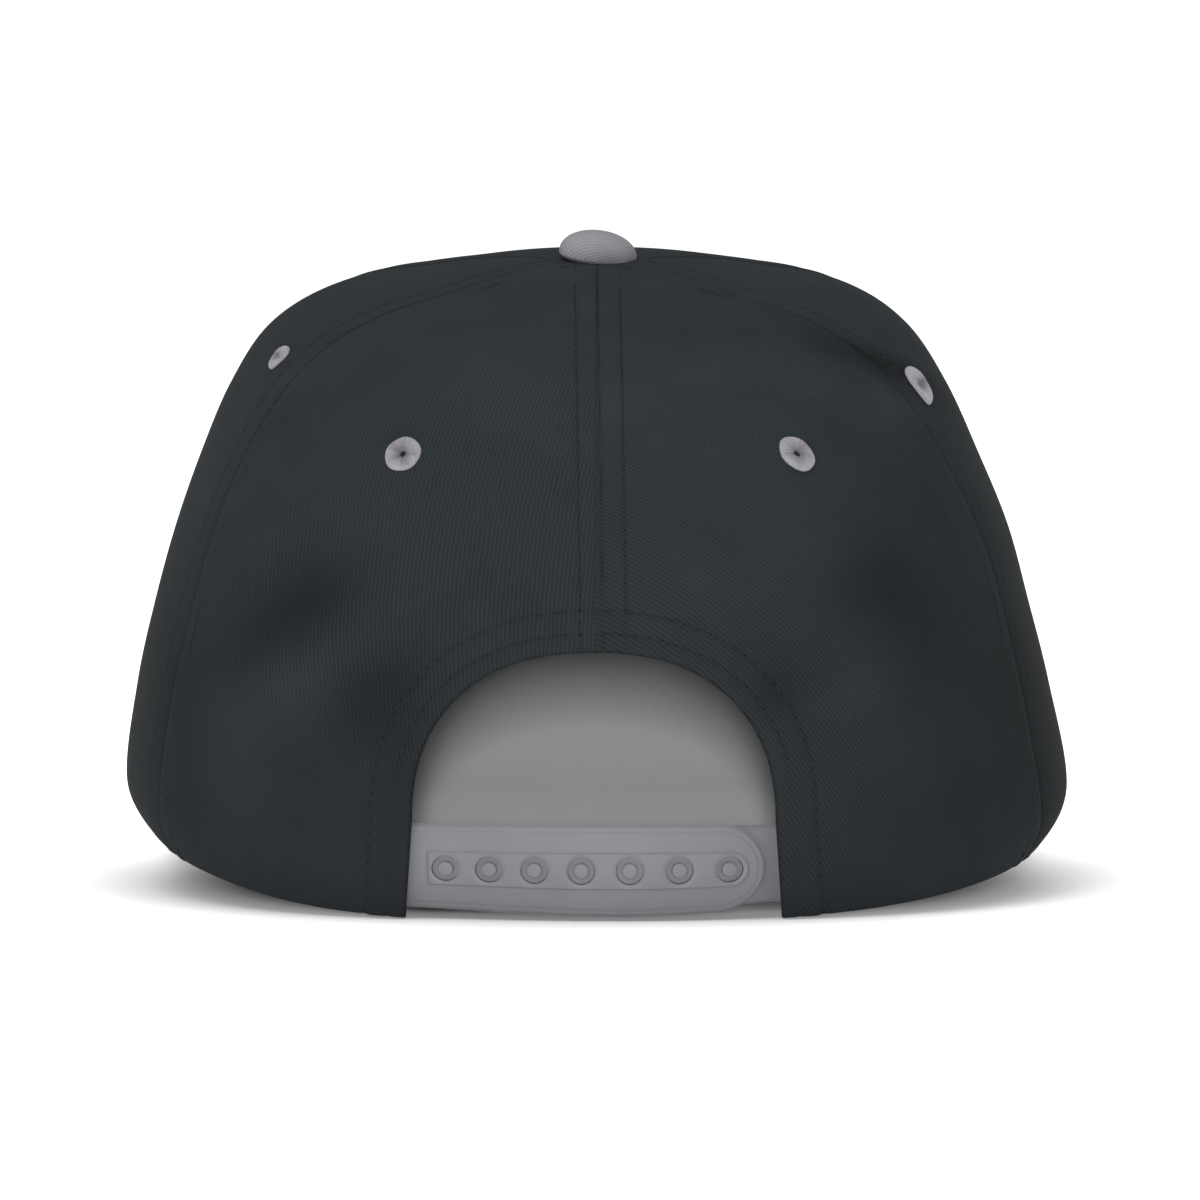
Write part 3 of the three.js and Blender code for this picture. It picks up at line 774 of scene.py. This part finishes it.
# One stitch, modelled once as a flat bead
def stitchMesh(stitch):
    size = (stitch["length"] / 2, stitch["width"] / 2, stitch["height"] / 2)
    piece = add(bpy.ops.mesh.primitive_uv_sphere_add, segments=6, ring_count=5, radius=1)
    editPiece(piece, lambda: bpy.ops.transform.rotate(
        value=math.pi / 2, orient_axis="Y", center_override=(0, 0, 0)))
    editPiece(piece, lambda: bpy.ops.transform.resize(value=size))
    vertices = pointsOf(piece)
    faces = [tuple(f.vertices) for f in piece.data.polygons]
    mesh = piece.data
    bpy.data.objects.remove(piece)
    bpy.data.meshes.remove(mesh)
    return vertices, faces


# Middles and axes of the stitches along a line of points with their outward normals
def stitchLine(points, normals, stitch):
    place = lengthsAlong(points)
    count = max(int(place[-1] / stitch["pitch"]), 1)
    at = (np.arange(count) + stitch["offset"]) * place[-1] / count

    def along(values, spots):
        return np.stack([np.interp(spots, place, values[:, i]) for i in range(3)], axis=-1)

    start, end = along(points, at - stitch["length"] / 2), along(points, at + stitch["length"] / 2)
    forward = unit(end - start)
    side = unit(np.cross(along(normals, at), forward))
    return (start + end) / 2, np.stack([forward, side, np.cross(forward, side)], axis=1)


def stitchPiece(name, lines, material, stitch):
    shape, faces = stitchMesh(stitch)
    blocks, polygons, start = [], [], 0
    for points, normals in lines:
        centre, axes = stitchLine(points, normals, stitch)
        placed = centre[:, None, :] + np.einsum("vi,nij->nvj", shape, axes)
        blocks.append(placed.reshape(-1, 3))
        for _ in centre:
            polygons += [tuple(v + start for v in face) for face in faces]
            start += len(shape)
    mesh = bpy.data.meshes.new(name)
    mesh.from_pydata(inFrame(np.concatenate(blocks)).tolist(), [], polygons)
    mesh.update()
    piece = bpy.data.objects.new(name, mesh)
    bpy.context.scene.collection.objects.link(piece)
    giveTone(piece, np.ones(len(mesh.vertices)))
    return finishPiece(piece, name, [], material, 80)


# Where thread lies on the sewn cloth, with the cloth's outward normals
def onCloth(turn, climb):
    base = crownPoints(turn, climb)
    normals = crownNormals(turn, climb)
    lift = sewnRelief(turn, climb, base) + seam["threadLift"]
    return base + normals * lift[..., None], normals


def buildCrownStitches():
    lines = []
    for k in range(len(panels)):
        for side in (-1, 1):
            climb = np.linspace(*seam["rowClimbs"], 500)
            turn = seamTurns(climb)[k]
            radius = sectionRadius(turn, climb)
            turn = turn + side * np.degrees(seam["rows"] / radius)
            points, normals = onCloth(turn, climb)
            keep = (radius > seam["rowEndRadius"]) & (archDistance(points) > seam["archClear"])
            lines.append((points[keep], normals[keep]))
    for away, lowest in zip(arch["rows"], arch["rowsFrom"]):
        for side in (-1, 1):
            x, z = archLine(side, away)
            turn, climb = crownPlace(x[z > lowest], z[z > lowest])
            lines.append(onCloth(turn, climb))
    stitchPiece("crown_stitches", lines, crownThread, crownStitch)
    # painted shade of the needle holes, as dark beads between the stitches
    stitchPiece("crown_needle_holes", lines, needleHoleShade, holeStitch)
    print("crown stitched")


eyelets = {
    "threads": 58,
    "radius": 3.65, "hole": 0.6, "height": 0.85, "under": 0.4,
    # painted shade: darker in the grooves between threads and round the hole
    "threadRelief": 0.16, "threadShade": 0.14,
    "holeShade": 0.55, "holeShadeRadius": 1.3,
}
eyeletNames = ("name", "turn", "climb", "wide", "high", "turned", "cut", "taper")
eyeletRows = [
    ("rear_left_eyelet", -31.1, .526, 1, 1, 0, 1, 0),
    ("rear_right_eyelet", 32.4, .525, .86, 1.12, 40, 1, 0),
    ("side_left_eyelet", -68.8, .616, .56, .78, -6, 1, .38),
    ("side_right_eyelet", 69.2, .574, 1.18, 1.18, 25, .6, 0),
    ("front_left_eyelet", -150, .6, 1, 1, 0, 1, 0),
    ("front_right_eyelet", 150, .6, 1, 1, 0, 1, 0),
]


# A ring's points moved to uneven threads round the hole, lying flat, and the tone of each, with painted shade
# in the grooves between the threads and round the hole
def eyeletShape(co, eyelet, middle, half):
    angle = np.arctan2(co[:, 1], co[:, 0])
    across = (np.hypot(co[:, 0], co[:, 1]) - middle) / half
    lift = co[:, 2] / half
    wave = angle * eyelets["threads"] + 1.2 * np.sin(3 * angle + eyelet["turn"]) + 0.8 * np.sin(7 * angle)
    thread = np.cos(wave) * (0.8 + 0.2 * np.sin(5 * angle + 1))
    domed = np.sign(lift) * np.abs(lift) ** np.where(across > 0, 0.75, 1.15)
    over = eyelets["height"] * (1 + eyelets["threadRelief"] * thread)
    height = np.where(lift > 0, over, eyelets["under"]) * domed
    uneven = 1 + 0.02 * np.sin(2 * angle + eyelet["turn"]) + 0.015 * np.sin(5 * angle) + 0.012 * thread
    radius = (middle + across * half) * np.where(across > 0, uneven, 1 + 0.05 * np.sin(3 * angle))
    shade = 1 - eyelets["holeShade"] * bell(radius, eyelets["holeShadeRadius"])
    tone = (1 - eyelets["threadShade"] + eyelets["threadShade"] * thread) * shade
    u, v = radius * np.cos(angle), radius * np.sin(angle)
    limit = eyelet["cut"] * eyelets["radius"]
    if eyelet["cut"] < 1:
        u = np.where(u < 0, -limit * np.tanh(-u / limit), u)
    u = u * eyelet["wide"] * (1 + eyelet["taper"] * v / eyelets["radius"])
    v = v * eyelet["high"]
    u, v = turnedAxes(u, v, -math.radians(eyelet["turned"]))
    return np.stack([u, v, height], axis=-1), tone


def buildEyelets():
    half = (eyelets["radius"] - eyelets["hole"]) / 2
    middle = eyelets["hole"] + half
    for row in eyeletRows:
        eyelet = dict(zip(eyeletNames, row))
        piece = add(
            bpy.ops.mesh.primitive_torus_add, major_segments=5 * eyelets["threads"],
            minor_segments=20, major_radius=middle, minor_radius=half)
        flat, tone = eyeletShape(pointsOf(piece), eyelet, middle, half)
        giveTone(piece, tone)
        turn, climb = np.array([eyelet["turn"]]), np.array([eyelet["climb"]])
        spot, out = crownPoints(turn, climb)[0], crownNormals(turn, climb)[0]
        side = unit(np.cross([0, 0, 1.0], out))
        movePoints(piece, inFrame(spot + flat @ np.stack([side, np.cross(out, side), out])))
        finishPiece(piece, eyelet["name"] + "_thread", [eyelet["name"]], trimThread, 60)
    print("eyelets sewn:", len(eyeletRows))


button = {
    "radius": 7.8, "height": 5, "under": 1.9, "roundness": 2.2,
    "lean": 7, "shiftX": 0.1,
    "rise": 0.44,            # of its middle above the crown
    "ribMiddle": (2, -7.4, -1), "ribStretch": (0.62, 0.8, 1.25), "ribShare": 0.95,
    # painted shade: the button is darker round the middle of its ribs, low on its back edge
    "shade": 0.45, "shadeReach": 4.5,       # darker round the middle of its ribs
}


def buildButton():
    piece = add(bpy.ops.mesh.primitive_uv_sphere_add, segments=128, ring_count=64, radius=1)
    co = pointsOf(piece)
    angle = np.arctan2(co[:, 1], co[:, 0])
    level = np.clip(co[:, 2], -1, 1)
    radius = np.sqrt(np.maximum(1 - np.abs(level) ** button["roundness"], 0))
    pleat = 1 + 0.012 * np.sin(7 * angle + 1) * (1 - np.abs(level)) + 0.01 * np.sin(3 * angle)
    x = button["radius"] * radius * pleat * np.cos(angle)
    y = button["radius"] * radius * pleat * np.sin(angle)
    z = np.where(level > 0, button["height"], button["under"]) * level
    away = np.stack([x, y, z], axis=-1) - np.array(button["ribMiddle"])
    away = np.linalg.norm(away * np.array(button["ribStretch"]), axis=-1)
    giveCloth(piece, np.stack([away * button["ribShare"], x], axis=-1))
    # painted shade round the middle of the ribs
    giveTone(piece, 1 - button["shade"] * bell(away, button["shadeReach"]))
    x, z = turnedAxes(x, z, math.radians(button["lean"]))
    y, z = turnedAxes(y, z, -math.atan(sections["lean"][-1]))
    top = np.array([button["shiftX"], 0, crown["height"] + button["rise"]])
    movePoints(piece, inFrame(np.stack([x, y, z], axis=-1) + top))
    finishPiece(piece, "button_cloth", ["button"], trimTwill, 60)
    print("button covered")


# Place on the brim: away is degrees from its middle, share runs from the crown to the edge
def brimPlace(away, share):
    cornerX = float(sectionRadius(cornerTurn, 0.)) * math.sin(math.radians(cornerTurn)) + brim["shoulder"]
    cornerY = brimCornerY - brim["shoulder"]
    inner = underCrown(180 - away, 0 * away, np.full(np.shape(away), crown["wall"]))
    theta = np.radians(away * 90 / brim["reach"])
    x = cornerX * np.sign(theta) * np.abs(np.sin(theta)) ** (2 / brim["squareness"])
    y = cornerY + (brimTipY - cornerY) * np.abs(np.cos(theta)) ** (2 / brim["squareness"])
    return inner[..., 0] + (x - inner[..., 0]) * share, inner[..., 1] + (y - inner[..., 1]) * share


# Rows of stitches on both faces of the brim, each as far inside its edge all along
def brimRows():
    fine = np.linspace(-brim["reach"], brim["reach"], 500)
    x0, y0 = brimPlace(fine, 0 * fine)
    x1, y1 = brimPlace(fine, 0 * fine + 1)
    length = np.hypot(x1 - x0, y1 - y0)
    lines = []
    for row in range(brim["stitchRows"]):
        inset = brim["firstRow"] + row * brim["rowPitch"]
        keep = length > inset + brim["rowClear"]
        x, y = brimPlace(fine[keep], 1 - inset / length[keep])
        over = brimTopAt(y) + brim["threadLift"]
        under = brimTopAt(y) - brim["wall"] - brim["threadLift"]
        for z, face in ((over, 1), (under, -1)):
            normals = np.zeros((len(x), 3)) + np.array([0, 0, face])
            lines.append((np.stack([x, y, z], axis=-1), normals))
    return lines


def buildBrim():
    across, up = gridShares(160, 60)
    away = brim["reach"] * (2 * across - 1)
    x, y = brimPlace(away, crowded(up, 0.5))
    top = np.stack([x, y, brimTopAt(y)], axis=-1)
    under = top - np.array([0, 0, brim["wall"]])
    piece = thickSheet(inFrame(top), inFrame(under), ribPlace(x, y, brim["ribs"]))
    giveTone(piece, np.ones(2 * x.size))
    applyModifier(piece, "BEVEL", {
        "width": brim["edgeRound"] * mm, "segments": 4, "limit_method": "ANGLE",
        "angle_limit": math.radians(50), "use_clamp_overlap": False})
    finishPiece(piece, "brim_cloth", ["brim"], trimTwill, 50)
    stitchPiece("brim_stitches", brimRows(), trimThread, brimStitch)
    print("brim covered and stitched")


band = {
    "height": 36,
    "wall": 1.2,
    "gap": 0.5,
    "tuck": 10,
    "roll": 0.6,
    "innerRoll": 0.9,
    "under": 0.16,           # share of its height below the hem's line
    "drop": 6.2,
    "underSlope": (0.8, 0.8, 1),
}


def buildSweatband():
    start = turnAtX(arch["hemHalfWidth"] + band["tuck"] + 2 * crown["fitGap"])
    across, up = gridShares(320, 40)
    turn = start + (360 - 2 * start) * across
    top = climbAtHeight(turn, hemHeight(turn) + band["height"])
    level = crowded(up, 0.7) * (1 + band["under"]) - band["under"]
    climb = top * np.maximum(level, 0)
    edge = (1 - level) * band["height"]
    depth = crown["wall"] + band["gap"] + rolled(edge, band["roll"])
    behind = crown["wall"] + band["gap"] + band["wall"] - rolled(edge, band["roll"]) * band["innerRoll"]
    outer, inner = underCrown(turn, climb, depth), underCrown(turn, climb, behind)
    beside = smooth(np.abs(wrapTurn(turn)), crown["sideSeamTurn"], cornerTurn)
    drop = crown["fitGap"] + (band["drop"] - crown["fitGap"]) * beside
    below = np.maximum(-level, 0) / band["under"]
    slope = crownPoints(turn, 0 * turn) - crownPoints(turn, 0 * turn + 0.03)
    slope /= np.abs(slope[..., 2:])
    for face in (outer, inner):
        face += slope * (drop * below)[..., None] * np.array(band["underSlope"])
    cloth = np.stack([np.radians(turn) * sectionRadius(turn, climb), level * band["height"]], axis=-1)
    piece = thickSheet(inFrame(outer), inFrame(inner), cloth)
    finishPiece(piece, "sweatband_cloth", ["sweatband"], bandCloth, 50)
    print("sweatband in")


strap = {
    "height": 17.8, "wall": 1.3,
    "floorGap": 1, "hemGap": 0.7, "layerGap": 0.5,
    "tuck": 10,
    "bow": 3.2,              # how far the closed strap swells out of the opening
    "bowShift": 1.2, "bowRound": 1.5,
    "endX": 33, "innerEndX": -35.5, "endRadius": 8.6,
    "rampGap": 2,            # between the inner strap's ramp and the outer strap's end
    "crowdUp": 0.86,
    "edgeFall": 0.4, "edgeWidth": 0.7,
    "borderWidth": 1.7, "borderStep": 0.16, "borderSlope": 0.3,
    "bandStartX": -33, "bandEndX": 29.5,
    "bandHeight": 7, "bandProud": 0.35, "bandSlope": (-0.15, 0.25),
    "pegs": 7, "firstPegX": -29.5, "pegPitch": 8.6, "pegPitchGrowth": 0.26,
    "pegRadius": 1.5, "pegRound": 0.35,
    "holeRadius": 2.6, "holeDip": 0.3,
    "holeSlope": (0.2, 0.6), # inside and outside the hole's edge
    "cutLength": 8,
    "collarGap": 0.06,
    "collarBelow": 0.8,      # how far each peg stands out of the collar round it
}
strapMiddle = strap["floorGap"] + strap["height"] / 2
outerDepth = crown["wall"] + strap["hemGap"]
innerDepth = outerDepth + strap["wall"] + strap["layerGap"]
degreeLength = math.radians(1) * float(sectionRadius(0., 0.05))     # along a flat strap


def turnAtX(x):
    climb = climbAtHeight(np.zeros(1), strapMiddle)
    turn = np.zeros(1)
    for _ in range(12):
        turn = np.degrees(np.arcsin(x / sectionRadius(turn, climb)))
    return float(turn[0])


# Place along a flat strap of what is seen at x
def flatX(x):
    return turnAtX(x) * degreeLength


def strapPoints(turn, height, depth):
    edge = turnAtX(arch["hemHalfWidth"])
    across = np.clip((turn + edge) / (2 * edge), 0, 1)
    bow = strap["bow"] * np.sin(np.pi * across ** strap["bowShift"]) ** strap["bowRound"]
    return underCrown(turn, climbAtHeight(turn, height), depth - bow)


# Turns of the pegs, a growing pitch apart along the strap
def pegTurns():
    fine = np.linspace(turnAtX(strap["firstPegX"]), 40, 4000)
    path = strapPoints(fine, 0 * fine + strapMiddle, 0 * fine + outerDepth)
    turns = [fine[0]]
    place = path[0]
    for turn, point in zip(fine, path):
        pitch = strap["pegPitch"] + strap["pegPitchGrowth"] * (len(turns) - 1)
        if len(turns) < strap["pegs"] and np.linalg.norm(point - place) >= pitch:
            turns.append(turn)
            place = point
    return turns


# Distance inside a rounded outline, from the flat place of the strap
def insideEnd(x, z, endX, side, radius, half):
    corner = endX - side * radius
    out = np.maximum(side * (x - corner), 0)
    up = np.maximum(np.abs(z) - (half - radius), 0)
    rounded = radius - np.hypot(out, up)
    plain = np.minimum(half - np.abs(z), side * (endX - x))
    return np.where((out > 0) & (up > 0), rounded, plain)


# Half the height of a strap along it, with a round end
def halfHeight(x, half, endX, radius):
    left = np.abs(endX - x)
    bow = np.sqrt(np.maximum(radius ** 2 - (radius - np.minimum(left, radius)) ** 2, 0))
    return np.where(left >= radius, half, np.maximum(half - radius + bow, 0.1))


# A strap is modelled flat, with x along it, y into the cap and z up, and then bent to its path
def flatGrid(fromX, toX, columns, half, endX):
    levels = np.sin(np.linspace(-1, 1, 61) * np.pi / 2 * strap["crowdUp"])
    levels /= math.sin(np.pi / 2 * strap["crowdUp"])
    x, level = np.meshgrid(fromX + (toX - fromX) * np.linspace(0, 1, columns + 1), levels)
    return x, halfHeight(x, half, endX, strap["endRadius"]) * level


def flatStrap(x, z, proud, depth=0):
    face = np.stack([x, depth - proud, z], -1)
    back = np.stack([x, depth + strap["wall"] + 0 * x, z], -1)
    return thickSheet(face, back)


def edgeFall(inside):
    return -strap["edgeFall"] * (1 - smooth(inside, 0, strap["edgeWidth"]))


def bendStrap(piece, depth):
    co = pointsOf(piece)
    points = strapPoints(co[:, 0] / degreeLength, strapMiddle + co[:, 2], depth + co[:, 1])
    movePoints(piece, inFrame(points))


# A round bar through a flat strap, whose back end is this deep
def addBar(x, radius, length, back):
    return add(
        bpy.ops.mesh.primitive_cylinder_add, vertices=40, radius=radius, depth=length,
        location=(x, back - length / 2, 0), rotation=(math.pi / 2, 0, 0))


def addPeg(x, radius, length):
    bar = addBar(x, radius, length, strap["wall"] / 2)
    bpy.ops.object.transform_apply(location=True, rotation=True, scale=True)
    return bar


def buildOuterStrap(pegPlaces):
    half = strap["height"] / 2
    startX = flatX(-arch["hemHalfWidth"] - strap["tuck"])
    endX = flatX(strap["endX"])
    x, z = flatGrid(startX, endX, 260, half, endX)
    inside = insideEnd(x, z, endX, 1, strap["endRadius"], half)
    border = smooth(inside, strap["borderWidth"] - strap["borderSlope"], strap["borderWidth"])
    proud = edgeFall(inside) - strap["borderStep"] * (1 - border)
    bandHalf = strap["bandHeight"] / 2
    bandStart = flatX(strap["bandStartX"])
    bandEnd = flatX(strap["bandEndX"])
    raised = np.minimum(insideEnd(x, z, bandEnd, 1, bandHalf, bandHalf), x - bandStart)
    proud += strap["bandProud"] * smooth(raised, *strap["bandSlope"])
    before, after = strap["holeSlope"]
    for place in pegPlaces:
        away = np.hypot(x - place, z)
        level = smooth(away, strap["holeRadius"] - before, strap["holeRadius"] + after)
        proud -= strap["holeDip"] * (1 - level)
    outer = flatStrap(x, z, proud)
    for place in pegPlaces:
        cutter = addBar(place, strap["holeRadius"], strap["cutLength"], strap["cutLength"] / 2)
        applyModifier(outer, "BOOLEAN", {"object": cutter, "operation": "DIFFERENCE", "solver": "EXACT"})
        bpy.data.objects.remove(cutter)
    bendStrap(outer, outerDepth)
    finishPiece(outer, "outer_strap_plastic", ["outer_strap"], strapPlastic, 30)


def buildInnerStrap(pegPlaces):
    half = strap["height"] / 2 - crown["fitGap"]
    startX = flatX(strap["innerEndX"])
    endX = flatX(arch["hemHalfWidth"] + strap["tuck"])
    x, z = flatGrid(startX, endX, 200, half, startX)
    inside = insideEnd(x, z, startX, -1, strap["endRadius"], half)
    rampStart = flatX(strap["endX"] + strap["rampGap"])
    ramp = smooth(x, rampStart, endX - strap["rampGap"])
    inner = flatStrap(x, z, edgeFall(inside), -ramp * (innerDepth - outerDepth))
    length = innerDepth - outerDepth + strap["bandProud"] / 2 + strap["wall"] / 2
    bars = []
    for place in pegPlaces:
        peg = addPeg(place, strap["pegRadius"], length)
        applyModifier(peg, "BEVEL", {"width": strap["pegRound"], "segments": 4, "limit_method": "ANGLE"})
        collar = addPeg(place, strap["holeRadius"] - strap["collarGap"], length - strap["collarBelow"])
        bars += [peg, collar]
    choose(inner)
    for bar in bars:
        bar.select_set(True)
    bpy.ops.object.join()
    bendStrap(inner, innerDepth)
    finishPiece(inner, "inner_strap_plastic", ["inner_strap"], strapPlastic, 30)


def buildStraps():
    pegPlaces = [turn * degreeLength for turn in pegTurns()]
    buildOuterStrap(pegPlaces)
    buildInnerStrap(pegPlaces)
    print("straps moulded, pegs:", len(pegPlaces))


# Metres, and watts
stage = {
    "floor": 60,
    # painted shade: round the cap's middle the floor has no glow and a darker colour
    "clearFrom": 0.07,       # the floor starts to glow this far from the cap's middle
    "clearRate": 18,
    "glow": 0.66,
    "sky": 0.4,
    "aimHeight": 0.06,
}
lampNames = ("name", "place", "wide", "high", "power")
lampRows = [
    ("front", (-0.005, -2.7, 0.362), 0.1, 0.26, 37),
    ("key", (-0.9, -1.3, 2), 1.2, 1.2, 16),
    ("top", (0, 0.1, 2.2), 2.5, 2.5, 22),
]


def buildFloor():
    place = (0, crown["centreY"] * mm, 0)
    floor = add(bpy.ops.mesh.primitive_plane_add, size=stage["floor"], location=place)
    floor.name = "floor"
    shader = Shader("pale_floor")
    away = shader.node("ShaderNodeVectorMath", {"operation": "LENGTH"}, {0: shader.objectPlace()}, 1)
    # Painted shade under the cap: near its middle the floor is darker and does not glow
    clear = ((away - stage["clearFrom"]) * stage["clearRate"]).clamp()
    floor.data.materials.append(shader.finish({
        "Base Color": shader.mix(clear, colour(205, 205, 205), colour(250, 250, 250)),
        "Roughness": 0.9, "Specular IOR Level": 0.1,
        "Emission Color": shader.mix(clear, (0, 0, 0, 1), (1, 1, 1, 1)), "Emission Strength": stage["glow"]}))


def buildLight():
    world = bpy.data.worlds.new("studio")
    bpy.context.scene.world = world
    world.use_nodes = True
    sky = world.node_tree.nodes["Background"].inputs
    sky["Color"].default_value = (1, 1, 1, 1)
    sky["Strength"].default_value = stage["sky"]
    aim = Vector((0, crown["centreY"] * mm, stage["aimHeight"]))
    for row in lampRows:
        values = dict(zip(lampNames, row))
        lamp = add(bpy.ops.object.light_add, type="AREA", location=values["place"])
        lamp.name = values["name"]
        lamp.data.shape = "RECTANGLE"
        lamp.data.size, lamp.data.size_y = values["wide"], values["high"]
        lamp.data.energy = values["power"]
        lamp.rotation_euler = (aim - Vector(values["place"])).to_track_quat("-Z", "Y").to_euler()
    print("stage lit")


# The photo's view: straight from behind and a little above, from far away
view = {
    "elevation": 4, "distance": 2.2, "aimHeight": 0.062,
    "right": 0.0006, "down": 0.0058,
    "sensor": 36, "lens": 330,
}


def buildCamera():
    elevation = math.radians(view["elevation"])
    target = Vector((0, crown["centreY"] * mm, view["aimHeight"]))
    back = Vector((0, -math.cos(elevation), math.sin(elevation)))
    upward = Vector((0, math.sin(elevation), math.cos(elevation)))
    slide = Vector((view["right"], 0, 0)) - upward * view["down"]
    data = bpy.data.cameras.new("camera")
    data.sensor_width = view["sensor"]
    data.lens = view["lens"]
    data.clip_start, data.clip_end = 0.05, 100
    camera = bpy.data.objects.new("camera", data)
    bpy.context.scene.collection.objects.link(camera)
    camera.location = target + back * view["distance"] + slide
    camera.rotation_euler = (-back).to_track_quat("-Z", "Y").to_euler()
    bpy.context.scene.camera = camera


buildCamera()
buildPanels()
buildCrownStitches()
buildEyelets()
buildButton()
buildBrim()
buildSweatband()
buildStraps()
buildFloor()
buildLight()
bpy.context.scene.view_settings.view_transform = "Standard"
